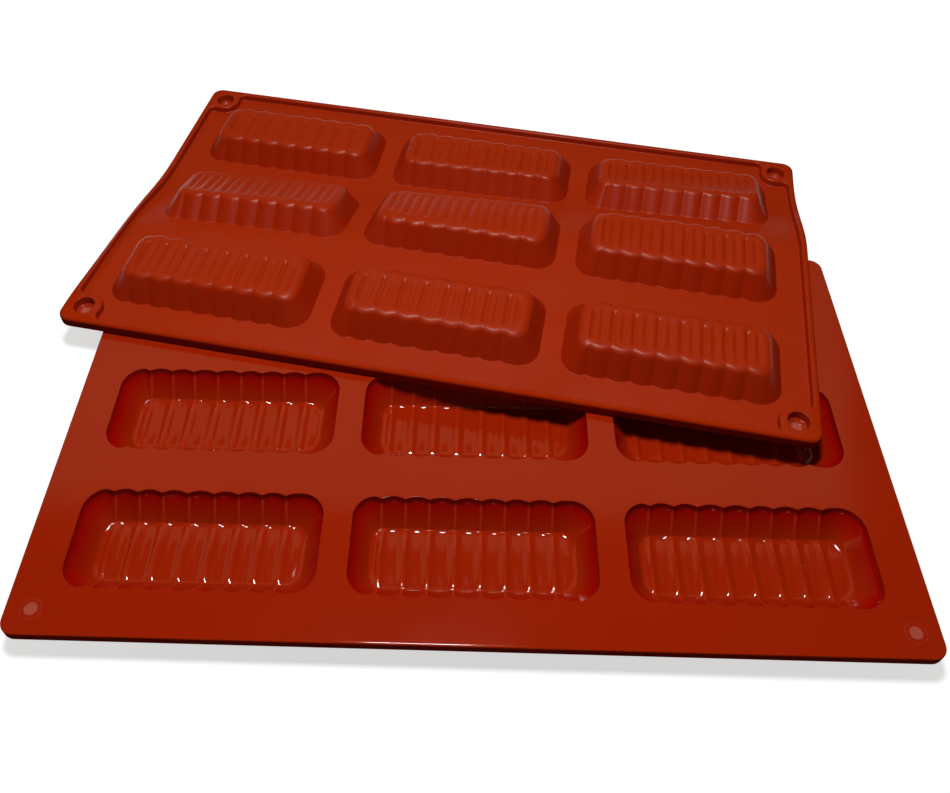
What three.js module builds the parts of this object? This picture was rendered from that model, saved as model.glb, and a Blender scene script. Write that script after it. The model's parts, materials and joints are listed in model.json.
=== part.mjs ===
// Two equal silicone cake moulds, each with nine fluted cups in a thin web that a rim bead stiffens. The lower mould
// stands on its cups. The upper mould is turned over and laid across the lower one's back edge, where it hangs down to
// the table. Millimetres, +Z up, origin on the table under the middle of the lower mould.

import * as THREE from 'three';

// Mould height, web sheet and the gap between pieces that meet
const mouldHeight = 12;
const webThickness = 1.6;
const seam = 0.3;

// Cup mouths and the spaces round them
const mouthLength = 83.8;
const mouthWidth = 36.8;
const mouthCornerRadius = 8.5;
const columnGap = 10.05;
const rowGap = 16.4;
const endMargin = 14.25;
const sideMargin = 15.9;

// Cup walls, floor and lip
const wallInset = 7.3;
const wallThickness = 1.7;
const floorThickness = 1.4;
const lipWidth = 2;

// Flutes along the long walls and across the floor
const firstLobeWidth = 1;
const lobeWidth = 8.4;
const wideLobeWidth = 9.1;
const wideLobes = [3, 4];
const fluteDepth = 1.2;
const floorRidgeHeight = 0.8;
const fluteShoulder = 1.8;

// Rim bead, corner bosses and the films that close their blind holes
const rimWidth = 3.6;
const rimHeight = 4.6;
const outerCornerRadius = 5;
const holeMargin = 8.5;
const bossRadius = 8;
const holeRadius = 3.75;
const holeMouthRadius = 4.4;
const filmRadius = 2;
const filmThickness = 0.5;
const ledgeRadius = 2.75;
const ledgeThickness = 1.5;

// How the upper mould lies: its middle behind the lower one's back edge, and its hang behind that edge
const layAngle = THREE.MathUtils.degToRad(-9.67);
const layShift = -6.2;
const layOverhang = 12.5;
const hangStart = 2.5;
const hangLength = 66.5;
const besideGap = 0.6;
const besideLead = 47;
const besideTrail = 13;
const besideWidth = 14.7;
const tableGap = 0.2;

// Steps that curves are drawn in, and the steps that let straight runs bend
const arcSteps = 4;
const outerCornerSteps = 5;
const holeSteps = 16;
const webLongSteps = 5;
const webShortSteps = 3;
const rimBendSteps = 14;
const slopeStep = 0.5;

// Sizes worked out from those above
const columns = 3;
const rows = 3;
const columnPitch = mouthLength + columnGap;
const rowPitch = mouthWidth + rowGap;
const mouldLength = (columns - 1) * columnPitch + mouthLength + 2 * endMargin;
const mouldWidth = (rows - 1) * rowPitch + mouthWidth + 2 * sideMargin;
const cavityDepth = mouldHeight - floorThickness;
const wallLean = wallInset / cavityDepth;
const bossReach = holeMargin + bossRadius;
const layDepth = mouldWidth / 2 + layOverhang;
const hangDrop = mouldHeight + seam - tableGap;

const columnNames = ['left', 'centre', 'right'];
const rowNames = ['front', 'middle', 'back'];
const endNames = { '-1': 'left', 1: 'right' };
const sideNames = { '-1': 'front', 1: 'back' };

const silicone = new THREE.MeshStandardMaterial({ color: 0x982c14, roughness: 0.35, metalness: 0 });
const thinSilicone = new THREE.MeshStandardMaterial({ color: 0xc4705c, roughness: 0.45, metalness: 0 });

// A closed solid from shared points and triangles
function solid(points, triangles) {
  const geometry = new THREE.BufferGeometry();
  geometry.setAttribute('position', new THREE.Float32BufferAttribute(points.flatMap((p) => [p.x, p.y, p.z]), 3));
  geometry.setIndex(triangles.flat());
  geometry.computeVertexNormals();
  return geometry;
}

// The inner ridges between lobes, from the left along the straight run of a long wall
function valleyPlaces(straightRun) {
  const places = [];
  let x = -straightRun + firstLobeWidth;
  while (x < straightRun - fluteShoulder) {
    places.push(x);
    x += wideLobes.includes(places.length) ? wideLobeWidth : lobeWidth;
  }
  return places;
}

// Half a cup outline, from the middle of its left end along one long side to the middle of its right end: places
// along it, distances out from its middle line, and whether a ridge is there
function fluteSide(halfLength, halfWidth, radius, flute) {
  const straightRun = halfLength - radius;
  const valleys = valleyPlaces(mouthLength / 2 - mouthCornerRadius);
  const cornerTurns = [1, Math.SQRT1_2, 0];
  const corner = cornerTurns.map((turn) => ({
    x: -straightRun - radius * turn,
    out: halfWidth - radius + radius * Math.sqrt(1 - turn * turn),
    ridge: 0,
  }));
  const side = [{ x: -halfLength, out: 0, ridge: 0 }, ...corner];
  valleys.forEach((valley, index) => {
    if (index > 0) side.push({ x: valley - fluteShoulder, out: halfWidth, ridge: 0 });
    side.push({ x: valley, out: halfWidth - flute, ridge: 1 });
    side.push({ x: valley + fluteShoulder, out: halfWidth, ridge: 0 });
  });
  const mirrored = corner.map((p) => ({ ...p, x: -p.x })).reverse();
  return [...side, ...mirrored, { x: halfLength, out: 0, ridge: 0 }];
}

// A level ring of a cup, anticlockwise from above: its front side from the left, then its back side from the right
function cupRing(grow, z, flute, ridgeHeight) {
  const radius = Math.max(mouthCornerRadius + grow, seam);
  const side = fluteSide(mouthLength / 2 + grow, mouthWidth / 2 + grow, radius, flute);
  const front = side.map((p) => new THREE.Vector3(p.x, -p.out, z + p.ridge * ridgeHeight));
  const back = front.slice(1, -1).map((p) => new THREE.Vector3(p.x, -p.y, p.z)).reverse();
  return [...front, ...back];
}

// A cup with its lip, its mouth at z = 0: one skin from the inside floor over the mouth and lip to the outside floor
function cupGeometry() {
  const rings = [
    cupRing(-wallInset, -cavityDepth, fluteDepth, floorRidgeHeight),
    cupRing(0, 0, fluteDepth, 0),
    cupRing(lipWidth, 0, 0, 0),
    cupRing(lipWidth, -webThickness, 0, 0),
    cupRing(wallThickness - wallLean * webThickness, -webThickness, fluteDepth, 0),
    cupRing(wallThickness - wallLean * mouldHeight, -mouldHeight, fluteDepth, floorRidgeHeight),
  ];
  const count = rings[0].length;
  const triangles = [];
  for (let band = 0; band + 1 < rings.length; band += 1) {
    for (let i = 0; i < count; i += 1) {
      const next = (i + 1) % count;
      const [a, b] = [band * count + i, band * count + next];
      const [c, d] = [a + count, b + count];
      triangles.push([a, d, b], [a, c, d]);
    }
  }
  const outside = (rings.length - 1) * count;
  const last = count / 2;
  const across = (i) => (i === 0 ? 0 : count - i);
  for (let i = 0; i < last; i += 1) {
    const [a, b, c, d] = [i, i + 1, across(i + 1), across(i)];
    const strip = [[a, b, c], [a, c, d]].filter((corners) => new Set(corners).size === 3);
    strip.forEach(([p, q, r]) => triangles.push([p, q, r], [outside + p, outside + r, outside + q]));
  }
  return solid(rings.flat(), triangles);
}

// Points of an arc about a centre, from one angle to another
function arc(centre, radius, from, to, steps) {
  return Array.from({ length: steps + 1 }, (_, i) => {
    const angle = from + ((to - from) * i) / steps;
    return new THREE.Vector2(centre.x + radius * Math.cos(angle), centre.y + radius * Math.sin(angle));
  });
}

// The arc of a boss, or of the web round it, for the corner at the origin: it joins two lines at equal distance
function bossArc(radius, line) {
  const centre = new THREE.Vector2(holeMargin, holeMargin);
  const reach = Math.sqrt(radius ** 2 - (holeMargin - line) ** 2);
  const end = Math.atan2(line - holeMargin, reach);
  return arc(centre, radius, Math.PI / 2 - end, end, arcSteps);
}

// One web cell's quarter, for a corner down and to the left: its opening's points and the cell edge's points that
// they meet, from the left side round to the bottom
function webQuarter(left, bottom, bossCorner) {
  const halfLength = mouthLength / 2 + lipWidth + seam;
  const halfWidth = mouthWidth / 2 + lipWidth + seam;
  const radius = mouthCornerRadius + lipWidth + seam;
  const centre = new THREE.Vector2(-halfLength + radius, -halfWidth + radius);
  const opening = arc(centre, radius, Math.PI, 1.5 * Math.PI, arcSteps);
  const edge = [
    new THREE.Vector2(-left, centre.y),
    new THREE.Vector2(-left, (centre.y - bottom) / 2),
    new THREE.Vector2(-left, -bottom),
    new THREE.Vector2((centre.x - left) / 2, -bottom),
    new THREE.Vector2(centre.x, -bottom),
  ];
  if (bossCorner) {
    const corner = new THREE.Vector2(-endMargin - mouthLength / 2, -sideMargin - mouthWidth / 2);
    bossArc(bossRadius + seam, rimWidth + seam).forEach((p, i) => edge[i].addVectors(corner, p));
  }
  return { opening, edge };
}

// One web cell: matching rings round the cup's opening and along the cell's edge, with the edges that are the web's own
function webCell(column, row) {
  const atEnd = { '-1': column === 0, 1: column === columns - 1 };
  const atSide = { '-1': row === 0, 1: row === rows - 1 };
  const endReach = endMargin + mouthLength / 2 - rimWidth - seam;
  const sideReach = sideMargin + mouthWidth / 2 - rimWidth - seam;
  const middle = new THREE.Vector2((column - (columns - 1) / 2) * columnPitch, (row - (rows - 1) / 2) * rowPitch);
  const turns = [[-1, -1], [1, -1], [1, 1], [-1, 1]];
  const quarters = turns.map(([end, side]) => {
    const left = atEnd[end] ? endReach : columnPitch / 2;
    const bottom = atSide[side] ? sideReach : rowPitch / 2;
    const quarter = webQuarter(left, bottom, atEnd[end] && atSide[side]);
    const place = (p) => new THREE.Vector2(-end * p.x, -side * p.y).add(middle);
    const [opening, edge] = [quarter.opening.map(place), quarter.edge.map(place)];
    const inOrder = end * side > 0;
    return { opening: inOrder ? opening : opening.reverse(), edge: inOrder ? edge : edge.reverse() };
  });
  const sides = [
    { own: atSide[-1], between: webLongSteps },
    { own: atEnd[1], between: webShortSteps },
    { own: atSide[1], between: webLongSteps },
    { own: atEnd[-1], between: webShortSteps },
  ];
  const cell = { opening: [], edge: [], own: [] };
  const addPoint = (opening, edge, own) => {
    cell.opening.push(opening);
    cell.edge.push(edge);
    cell.own.push(own);
  };
  quarters.forEach((quarter, index) => {
    const before = sides[(index + 3) % 4];
    const after = sides[index];
    const following = quarters[(index + 1) % 4];
    quarter.edge.forEach((p, i) => addPoint(quarter.opening[i], p, i < arcSteps / 2 ? before.own : after.own));
    for (let k = 1; k < after.between; k += 1) {
      const opening = quarter.opening.at(-1).clone().lerp(following.opening[0], k / after.between);
      const edge = quarter.edge.at(-1).clone().lerp(following.edge[0], k / after.between);
      addPoint(opening, edge, after.own);
    }
  });
  return cell;
}

// The web sheet: its cells joined along their edges, with walls in the openings and along the web's own edge
function webGeometry() {
  const points = [];
  const triangles = [];
  const places = new Map();
  const corner = (p, z) => {
    const key = [p.x, p.y, z].map((value) => Math.round(value * 1000)).join();
    if (!places.has(key)) {
      places.set(key, points.length);
      points.push(new THREE.Vector3(p.x, p.y, z));
    }
    return places.get(key);
  };
  const quad = (a, b, c, d) => triangles.push([a, b, c], [a, c, d]);
  for (let row = 0; row < rows; row += 1) {
    for (let column = 0; column < columns; column += 1) {
      const { opening, edge, own } = webCell(column, row);
      opening.forEach((_, i) => {
        const j = (i + 1) % opening.length;
        const [a, b, c, d] = [opening[i], edge[i], edge[j], opening[j]];
        const top = [a, b, c, d].map((p) => corner(p, 0));
        const under = [a, b, c, d].map((p) => corner(p, -webThickness));
        quad(...top);
        quad(under[3], under[2], under[1], under[0]);
        quad(top[3], under[3], under[0], top[0]);
        if (own[i]) quad(top[1], under[1], under[2], top[2]);
      });
    }
  }
  return solid(points, triangles);
}

// A straight length of rim bead along X or Y, in steps where it has to bend
function rimGeometry(along, sign, steps) {
  const length = (along === 'x' ? mouldLength : mouldWidth) - 2 * (bossReach + seam);
  const out = sign * ((along === 'x' ? mouldWidth : mouldLength) / 2 - rimWidth / 2);
  const geometry = along === 'x'
    ? new THREE.BoxGeometry(length, rimWidth, rimHeight, steps, 1, 1).translate(0, out, -rimHeight / 2)
    : new THREE.BoxGeometry(rimWidth, length, rimHeight, 1, steps, 1).translate(out, 0, -rimHeight / 2);
  return geometry;
}

// Draft on a boss's hole: it widens from the film to its mouth on the underside
function draftHole(geometry, centre) {
  const position = geometry.getAttribute('position');
  for (let i = 0; i < position.count; i += 1) {
    const spoke = new THREE.Vector2(position.getX(i), position.getY(i)).sub(centre);
    if (spoke.length() < holeRadius + seam) {
      const depth = -position.getZ(i) / rimHeight;
      spoke.setLength(THREE.MathUtils.lerp(holeRadius, holeMouthRadius, depth)).add(centre);
      position.setXY(i, spoke.x, spoke.y);
    }
  }
  geometry.computeVertexNormals();
  return geometry;
}

// A corner boss with its hole: the corner's own outline, and an arc about the hole on the inner side
function bossGeometry(end, side) {
  const middle = new THREE.Vector2(outerCornerRadius, outerCornerRadius);
  const round = arc(middle, outerCornerRadius, Math.PI, 1.5 * Math.PI, outerCornerSteps);
  const outline = [
    ...round,
    new THREE.Vector2(bossReach, 0),
    new THREE.Vector2(bossReach, rimWidth),
    ...bossArc(bossRadius, rimWidth).reverse(),
    new THREE.Vector2(rimWidth, bossReach),
    new THREE.Vector2(0, bossReach),
  ];
  const inOrder = end * side > 0;
  const place = (points) => {
    const placed = points.map((p) => new THREE.Vector2(end * (mouldLength / 2 - p.x), side * (mouldWidth / 2 - p.y)));
    return inOrder ? placed : placed.reverse();
  };
  const shape = new THREE.Shape(place(outline));
  const centre = new THREE.Vector2(holeMargin, holeMargin);
  const hole = arc(centre, holeRadius, 0, 2 * Math.PI, holeSteps).slice(0, -1);
  shape.holes.push(new THREE.Path(place(hole)));
  const block = new THREE.ExtrudeGeometry(shape, { depth: rimHeight, bevelEnabled: false }).translate(0, 0, -rimHeight);
  return draftHole(block, place([centre])[0]);
}

// The stepped film in a boss's hole, thinnest in the middle and flush with the flat face
function filmGeometry(end, side) {
  const plugRadius = holeRadius - seam;
  const profile = [
    [0, -filmThickness],
    [filmRadius, -filmThickness],
    [ledgeRadius, -ledgeThickness],
    [plugRadius, -ledgeThickness],
    [plugRadius, 0],
    [0, 0],
  ].map(([radius, height]) => new THREE.Vector2(radius, height));
  const geometry = new THREE.LatheGeometry(profile, holeSteps).rotateX(Math.PI / 2);
  return geometry.translate(end * (mouldLength / 2 - holeMargin), side * (mouldWidth / 2 - holeMargin), 0);
}

// Ease from 0 to 1 with a level start and a long level end
function ease(share) {
  const t = THREE.MathUtils.clamp(share, 0, 1);
  return 1 - (1 - t) ** 3 * (1 + 3 * t);
}

// Height of the laid mould's flat face at a place in its own plane: level on the lower mould, then down to the table,
// with an earlier and slower fall where it reaches out beside the lower mould's left end
function hangHeight(x, y) {
  const across = x * Math.cos(layAngle) - y * Math.sin(layAngle) + layShift;
  const back = x * Math.sin(layAngle) + y * Math.cos(layAngle) + layDepth;
  const beside = THREE.MathUtils.smoothstep(-across - mouldLength / 2 - besideGap, 0, besideWidth);
  const start = mouldWidth / 2 + hangStart - besideLead * beside;
  const length = hangLength + (besideLead + besideTrail) * beside;
  return -hangDrop * ease((back - start) / length);
}

// Bends a flat piece of the laid mould so that it hangs: each point keeps its distance from the bent flat face, measured
// across the fall from front to back
function hang(geometry) {
  const position = geometry.getAttribute('position');
  for (let i = 0; i < position.count; i += 1) {
    const [x, y, z] = [position.getX(i), position.getY(i), position.getZ(i)];
    const fall = (hangHeight(x, y + slopeStep) - hangHeight(x, y - slopeStep)) / (2 * slopeStep);
    const offset = new THREE.Vector2(-fall, 1).setLength(z);
    position.setXYZ(i, x, y + offset.x, hangHeight(x, y) + offset.y);
  }
  geometry.computeVertexNormals();
  return geometry;
}

// One whole mould: every piece is made as used, with its cups down, and the turned one is then rolled over and hung
function buildMould(prefix, turned) {
  const mould = new THREE.Group();
  const facing = turned ? -1 : 1;
  const add = (name, geometry, material) => {
    const placed = turned ? hang(geometry.rotateX(Math.PI)) : geometry;
    const mesh = new THREE.Mesh(placed, material);
    mesh.name = `${prefix}_${name}`;
    mould.add(mesh);
  };
  const rimSteps = turned ? rimBendSteps : 1;
  add('web_sheet', webGeometry(), silicone);
  for (let row = 0; row < rows; row += 1) {
    for (let column = 0; column < columns; column += 1) {
      const x = (column - (columns - 1) / 2) * columnPitch;
      const y = facing * (row - (rows - 1) / 2) * rowPitch;
      add(`cup_${rowNames[row]}_${columnNames[column]}`, cupGeometry().translate(x, y, 0), silicone);
    }
  }
  for (const sign of [-1, 1]) {
    add(`rim_bead_${sideNames[sign]}`, rimGeometry('x', facing * sign, rimSteps), silicone);
    add(`rim_bead_${endNames[sign]}`, rimGeometry('y', sign, rimSteps), silicone);
  }
  for (const end of [-1, 1]) {
    for (const side of [-1, 1]) {
      const place = `${sideNames[side]}_${endNames[end]}`;
      add(`corner_boss_${place}`, bossGeometry(end, facing * side), silicone);
      add(`corner_film_${place}`, filmGeometry(end, facing * side), thinSilicone);
    }
  }
  return mould;
}

const pair = new THREE.Group();
const lower = buildMould('lower', false);
lower.position.set(0, 0, mouldHeight);
const upper = buildMould('upper', true);
upper.position.set(layShift, layDepth, mouldHeight + seam);
upper.rotation.z = layAngle;
pair.add(lower, upper);

export default pair;
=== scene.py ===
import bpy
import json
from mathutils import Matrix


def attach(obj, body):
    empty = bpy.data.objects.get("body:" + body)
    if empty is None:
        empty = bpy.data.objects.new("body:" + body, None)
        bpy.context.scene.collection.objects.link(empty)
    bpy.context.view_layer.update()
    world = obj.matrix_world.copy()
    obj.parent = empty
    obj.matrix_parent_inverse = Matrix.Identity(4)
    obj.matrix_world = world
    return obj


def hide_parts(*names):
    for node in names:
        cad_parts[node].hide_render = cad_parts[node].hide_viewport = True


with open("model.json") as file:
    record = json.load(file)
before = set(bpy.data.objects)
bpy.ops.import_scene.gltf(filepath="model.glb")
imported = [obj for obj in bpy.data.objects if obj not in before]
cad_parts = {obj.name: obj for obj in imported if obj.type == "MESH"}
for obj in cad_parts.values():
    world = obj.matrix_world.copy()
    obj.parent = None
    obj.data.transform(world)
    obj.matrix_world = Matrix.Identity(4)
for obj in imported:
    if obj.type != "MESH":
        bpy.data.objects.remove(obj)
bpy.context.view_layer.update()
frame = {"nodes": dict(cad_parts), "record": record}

import json
import math

import bmesh
import bpy
import numpy as np
from mathutils import Matrix

mm = 0.001
print("frame loaded:", len(frame["nodes"]), "solids")


# Shared sizes of both mouldings, in millimetres

mould = {
    "length": 300.0,
    "width": 175.0,
    "height": 12.0,
    "sheet": 1.6,
    "columns": 3,
    "rows": 3,
    "columnPitch": 93.85,
    "rowPitch": 53.2,
}

lay = {  # how the second mould lies across the first
    "angle": math.radians(-9.67),
    "shift": -6.2,
    "overhang": 12.5,
    "gap": 0.3,
    "tableGap": 0.2,
    "hangStart": 2.5,
    "hangLength": 66.5,
    "besideGap": 0.6,
    "besideLead": 47.0,
    "besideTrail": 13.0,
    "besideWidth": 14.7,
}


def hangHeight(x, y):
    # level on the lower mould, then an eased fall to the table, earlier beside its left end
    across = x * math.cos(lay["angle"]) - y * math.sin(lay["angle"]) + lay["shift"]
    back = x * math.sin(lay["angle"]) + y * math.cos(lay["angle"]) + mould["width"] / 2 + lay["overhang"]
    beside = np.clip((-across - mould["length"] / 2 - lay["besideGap"]) / lay["besideWidth"], 0, 1)
    beside = beside * beside * (3 - 2 * beside)
    start = mould["width"] / 2 + lay["hangStart"] - lay["besideLead"] * beside
    length = lay["hangLength"] + (lay["besideLead"] + lay["besideTrail"]) * beside
    share = np.clip((back - start) / length, 0, 1)
    drop = mould["height"] + lay["gap"] - lay["tableGap"]
    return -drop * (1 - (1 - share) ** 3 * (1 + 3 * share))


def standLower(points):
    return points + [0, 0, mould["height"]]


def layUpper(points):
    # turned over, bent over the lower mould's back edge, then turned and set in place
    x, y, z = points[:, 0], -points[:, 1], -points[:, 2]
    fall = hangHeight(x, y + 0.5) - hangHeight(x, y - 0.5)
    slant = np.sqrt(1 + fall * fall)
    bentY = y - z * fall / slant
    bentZ = hangHeight(x, y) + z / slant
    turnCos, turnSin = math.cos(lay["angle"]), math.sin(lay["angle"])
    return np.stack([
        x * turnCos - bentY * turnSin + lay["shift"],
        x * turnSin + bentY * turnCos + mould["width"] / 2 + lay["overhang"],
        bentZ + mould["height"] + lay["gap"],
    ], axis=1)


# Small helpers for paths, meshes and nodes

def roundedPath(corners):
    # corners are (across, height) or (across, height, rounding, steps)
    path = [np.array(corners[0][:2], float)]
    for before, here, after in zip(corners, corners[1:], corners[2:]):
        p, q, r = (np.array(c[:2], float) for c in (before, here, after))
        if len(here) == 2:
            path.append(q)
            continue
        toP = (p - q) / np.linalg.norm(p - q)
        toR = (r - q) / np.linalg.norm(r - q)
        half = 0.5 * math.acos(np.clip(toP @ toR, -1, 1))
        middle = q + (toP + toR) / np.linalg.norm(toP + toR) * here[2] / math.sin(half)
        first = q + toP * here[2] / math.tan(half) - middle
        last = q + toR * here[2] / math.tan(half) - middle
        turn = math.atan2(first[0] * last[1] - first[1] * last[0], first @ last)
        for step in range(here[3] + 1):
            angle = turn * step / here[3]
            path.append(middle + [first[0] * math.cos(angle) - first[1] * math.sin(angle),
                                  first[0] * math.sin(angle) + first[1] * math.cos(angle)])
    path.append(np.array(corners[-1][:2], float))
    return path


def gridFaces(start, rows, count):
    faces = []
    for row in range(rows - 1):
        for i in range(count):
            j = (i + 1) % count
            a, b = start + row * count + i, start + row * count + j
            faces.append((a, b, b + count, a + count))
    return faces


def meshFrom(name, points, faces, attributes, mergeReach=0.002):
    mesh = bpy.data.meshes.new(name)
    mesh.from_pydata([tuple(p) for p in points], [], faces)
    for key, values in attributes.items():
        values = np.asarray(values, np.float32)
        kind, field = ("FLOAT_VECTOR", "vector") if values.ndim == 2 else ("FLOAT", "value")
        mesh.attributes.new(key, kind, "POINT").data.foreach_set(field, values.ravel())
    work = bmesh.new()
    work.from_mesh(mesh)
    bmesh.ops.remove_doubles(work, verts=work.verts, dist=mergeReach)
    bmesh.ops.dissolve_degenerate(work, edges=work.edges, dist=mergeReach / 10)
    bmesh.ops.recalc_face_normals(work, faces=work.faces)
    loose = sum(1 for edge in work.edges if len(edge.link_faces) != 2)
    volume = round(work.calc_volume(signed=True), 1)
    print(name, "faces", len(work.faces), "open edges", loose, "volume", volume)
    work.to_mesh(mesh)
    work.free()
    return mesh


def feed(socket, value):
    if isinstance(value, bpy.types.NodeSocket):
        socket.id_data.links.new(value, socket)
    else:
        socket.default_value = value


def addNode(tree, kind, sockets=None, **settings):
    node = tree.nodes.new(kind)
    for key, value in settings.items():
        setattr(node, key, value)
    for key, value in (sockets or {}).items():
        feed(node.inputs[key], value)
    return node


def calc(tree, operation, *values):
    return addNode(tree, "ShaderNodeMath", dict(enumerate(values)), operation=operation).outputs[0]


def noise(tree, place, scale, detail):
    node = addNode(tree, "ShaderNodeTexNoise", {"Vector": place, "Scale": scale, "Detail": detail})
    return node.outputs["Fac"]


def paintOf(tree, attribute):
    return addNode(tree, "ShaderNodeAttribute", attribute_name=attribute).outputs["Fac"]


def mixColours(tree, share, first, second, blend="MIX"):
    node = addNode(tree, "ShaderNodeMix", {"Factor": share, "A": first, "B": second},
                   data_type="RGBA", blend_type=blend)
    return node.outputs["Result"]


def mapRange(tree, value, fromRange, toRange):
    labels = ("Value", "From Min", "From Max", "To Min", "To Max")
    node = addNode(tree, "ShaderNodeMapRange", dict(zip(labels, (value, *fromRange, *toRange))))
    return node.outputs["Result"]


def showMix(tree, share, first, second, output):
    both = addNode(tree, "ShaderNodeMixShader", {"Fac": share, 1: first, 2: second})
    feed(tree.nodes[output].inputs["Surface"], both.outputs["Shader"])


def newMaterial(name):
    material = bpy.data.materials.new(name)
    material.use_nodes = True
    return material, material.node_tree


def placing(right, up, back, spot):
    turn = np.eye(4)
    turn[:3, 0], turn[:3, 1], turn[:3, 2], turn[:3, 3] = right, up, back, spot
    return Matrix(turn.tolist())


def newGeometryTree(name, sizes):
    tree = bpy.data.node_groups.new(name, "GeometryNodeTree")
    tree.interface.new_socket("Geometry", in_out="INPUT", socket_type="NodeSocketGeometry")
    tree.interface.new_socket("Material", in_out="INPUT", socket_type="NodeSocketMaterial")
    for label in sizes:
        tree.interface.new_socket(label, in_out="INPUT", socket_type="NodeSocketFloat")
    tree.interface.new_socket("Geometry", in_out="OUTPUT", socket_type="NodeSocketGeometry")
    return tree, addNode(tree, "NodeGroupInput"), addNode(tree, "NodeGroupOutput")


def setOut(tree, points, instance, given, result):
    # copies on points, made real and given their material
    copies = addNode(tree, "GeometryNodeInstanceOnPoints", {"Points": points, "Instance": instance})
    real = addNode(tree, "GeometryNodeRealizeInstances", {"Geometry": copies.outputs["Instances"]})
    coloured = addNode(tree, "GeometryNodeSetMaterial", {
        "Geometry": real.outputs["Geometry"],
        "Material": given.outputs["Material"],
    })
    feed(result.inputs["Geometry"], coloured.outputs["Geometry"])


def runTree(mesh, tree, values):
    holder = bpy.data.objects.new(tree.name, mesh)
    bpy.context.scene.collection.objects.link(holder)
    modifier = holder.modifiers.new(tree.name, "NODES")
    modifier.node_group = tree
    for item in tree.interface.items_tree:
        if item.in_out == "INPUT" and item.name in values:
            modifier[item.identifier] = values[item.name]
    bpy.context.view_layer.update()
    evaluated = holder.evaluated_get(bpy.context.evaluated_depsgraph_get())
    result = bpy.data.meshes.new_from_object(evaluated)
    holder.modifiers.clear()
    bpy.data.objects.remove(holder)
    return result


def placedCopy(mesh, name, place, shift=0.0):
    copy = mesh.copy()
    copy.name = name
    points = np.empty(len(copy.vertices) * 3, np.float32)
    copy.vertices.foreach_get("co", points)
    moved = place(points.reshape(-1, 3).astype(float) + [0, shift, 0]) * mm
    copy.vertices.foreach_set("co", moved.astype(np.float32).ravel())
    copy.update()
    return copy


def paintSides(mesh):
    # faces that a cake touches are glossy, the others are matt, and the outer edge is dull
    inside = np.empty(len(mesh.vertices), np.float32)
    mesh.attributes["inside"].data.foreach_get("value", inside)
    corners = np.empty(len(mesh.loops), np.int32)
    mesh.loops.foreach_get("vertex_index", corners)
    starts = np.empty(len(mesh.polygons), np.int32)
    mesh.polygons.foreach_get("loop_start", starts)
    mesh.materials.clear()
    for material in (foodSide, underSide, edgeSide):
        mesh.materials.append(material)
    least = np.minimum.reduceat(inside[corners], starts)
    mesh.polygons.foreach_set("material_index", np.clip(1 - np.round(least), 0, 2).astype(np.int32))


shading = {
    "sharpAngle": math.radians(50),
    "cupWeight": 50,
    "flatWeight": 100,
}


def finishPiece(name, mesh, body, nodes, faceWeight):
    mesh.shade_smooth()
    mesh.set_sharp_from_angle(angle=shading["sharpAngle"])
    piece = bpy.data.objects.new(name, mesh)
    bpy.context.scene.collection.objects.link(piece)
    normals = piece.modifiers.new("evenNormals", "WEIGHTED_NORMAL")
    normals.keep_sharp = True
    normals.weight = faceWeight
    bpy.context.view_layer.update()
    evaluated = piece.evaluated_get(bpy.context.evaluated_depsgraph_get())
    piece.data = bpy.data.meshes.new_from_object(evaluated)
    piece.modifiers.clear()
    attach(piece, body)
    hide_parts(*nodes)


# Silicone finishes

silicone = {  # what all the finishes share
    "ior": 1.41,
    "cloudScale": 18,
    "cloudDetail": 4,
    "smearScale": 45,
    "smearDetail": 3,
    "grainScale": 2600,
    "grainDetail": 2,
    "grainDepth": 0.00005,
}

foodSideLook = {
    "red": (0.295, 0.0150, 0.0013, 1),
    "deepRed": (0.268, 0.0125, 0.0007, 1),
    # painted highlight: a lighter red on the lines between flutes, for their reflections
    "paintedHighlightRed": (0.44, 0.033, 0.005, 1),
    # painted shade on the walls: their colour is multiplied darker and a deeper red
    "paintedShadeTint": (0.98, 0.12, 0.2, 1),
    "roughness": 0.085,
    "gloss": 0.5,
    "grain": 0.024,
}

underSideLook = {
    "red": (0.306, 0.0198, 0.0012, 1),
    "deepRed": (0.279, 0.0168, 0.0007, 1),
    "paintedHighlightRed": (0.29, 0.018, 0.001, 1),
    # painted shade on the outer walls: their colour is multiplied a little darker
    "paintedShadeTint": (0.97, 0.8, 0.8, 1),
    "roughness": 0.38,
    "gloss": 0.22,
    "grain": 0.12,
}

edgeLook = {**underSideLook, "roughness": 0.6, "gloss": 0.0}


def makeSilicone(name, look):
    material, tree = newMaterial(name)
    place = addNode(tree, "ShaderNodeTexCoord").outputs["Object"]
    cloud = noise(tree, place, silicone["cloudScale"], silicone["cloudDetail"])
    smear = noise(tree, place, silicone["smearScale"], silicone["smearDetail"])
    grain = noise(tree, place, silicone["grainScale"], silicone["grainDetail"])
    # painted shade: the walls get a darker, deeper red than the floors, standing in for the shade and red
    # bounce light in the cups; painted highlight: the lines between flutes are lighter, standing in for their
    # reflections
    tint = mixColours(tree, cloud, look["deepRed"], look["red"])
    tint = mixColours(tree, paintOf(tree, "paintedWallShade"), tint, look["paintedShadeTint"], "MULTIPLY")
    tint = mixColours(tree, paintOf(tree, "paintedCuspHighlight"), tint, look["paintedHighlightRed"])
    bump = addNode(tree, "ShaderNodeBump", {
        "Distance": silicone["grainDepth"],
        "Strength": look["grain"],
        "Height": grain,
    })
    shader = tree.nodes["Principled BSDF"].inputs
    feed(shader["Base Color"], tint)
    feed(shader["Roughness"], calc(tree, "MULTIPLY_ADD", smear, look["roughness"], look["roughness"] / 2))
    feed(shader["Normal"], bump.outputs["Normal"])
    feed(shader["IOR"], silicone["ior"])
    feed(shader["Specular IOR Level"], look["gloss"])
    return material


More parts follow.
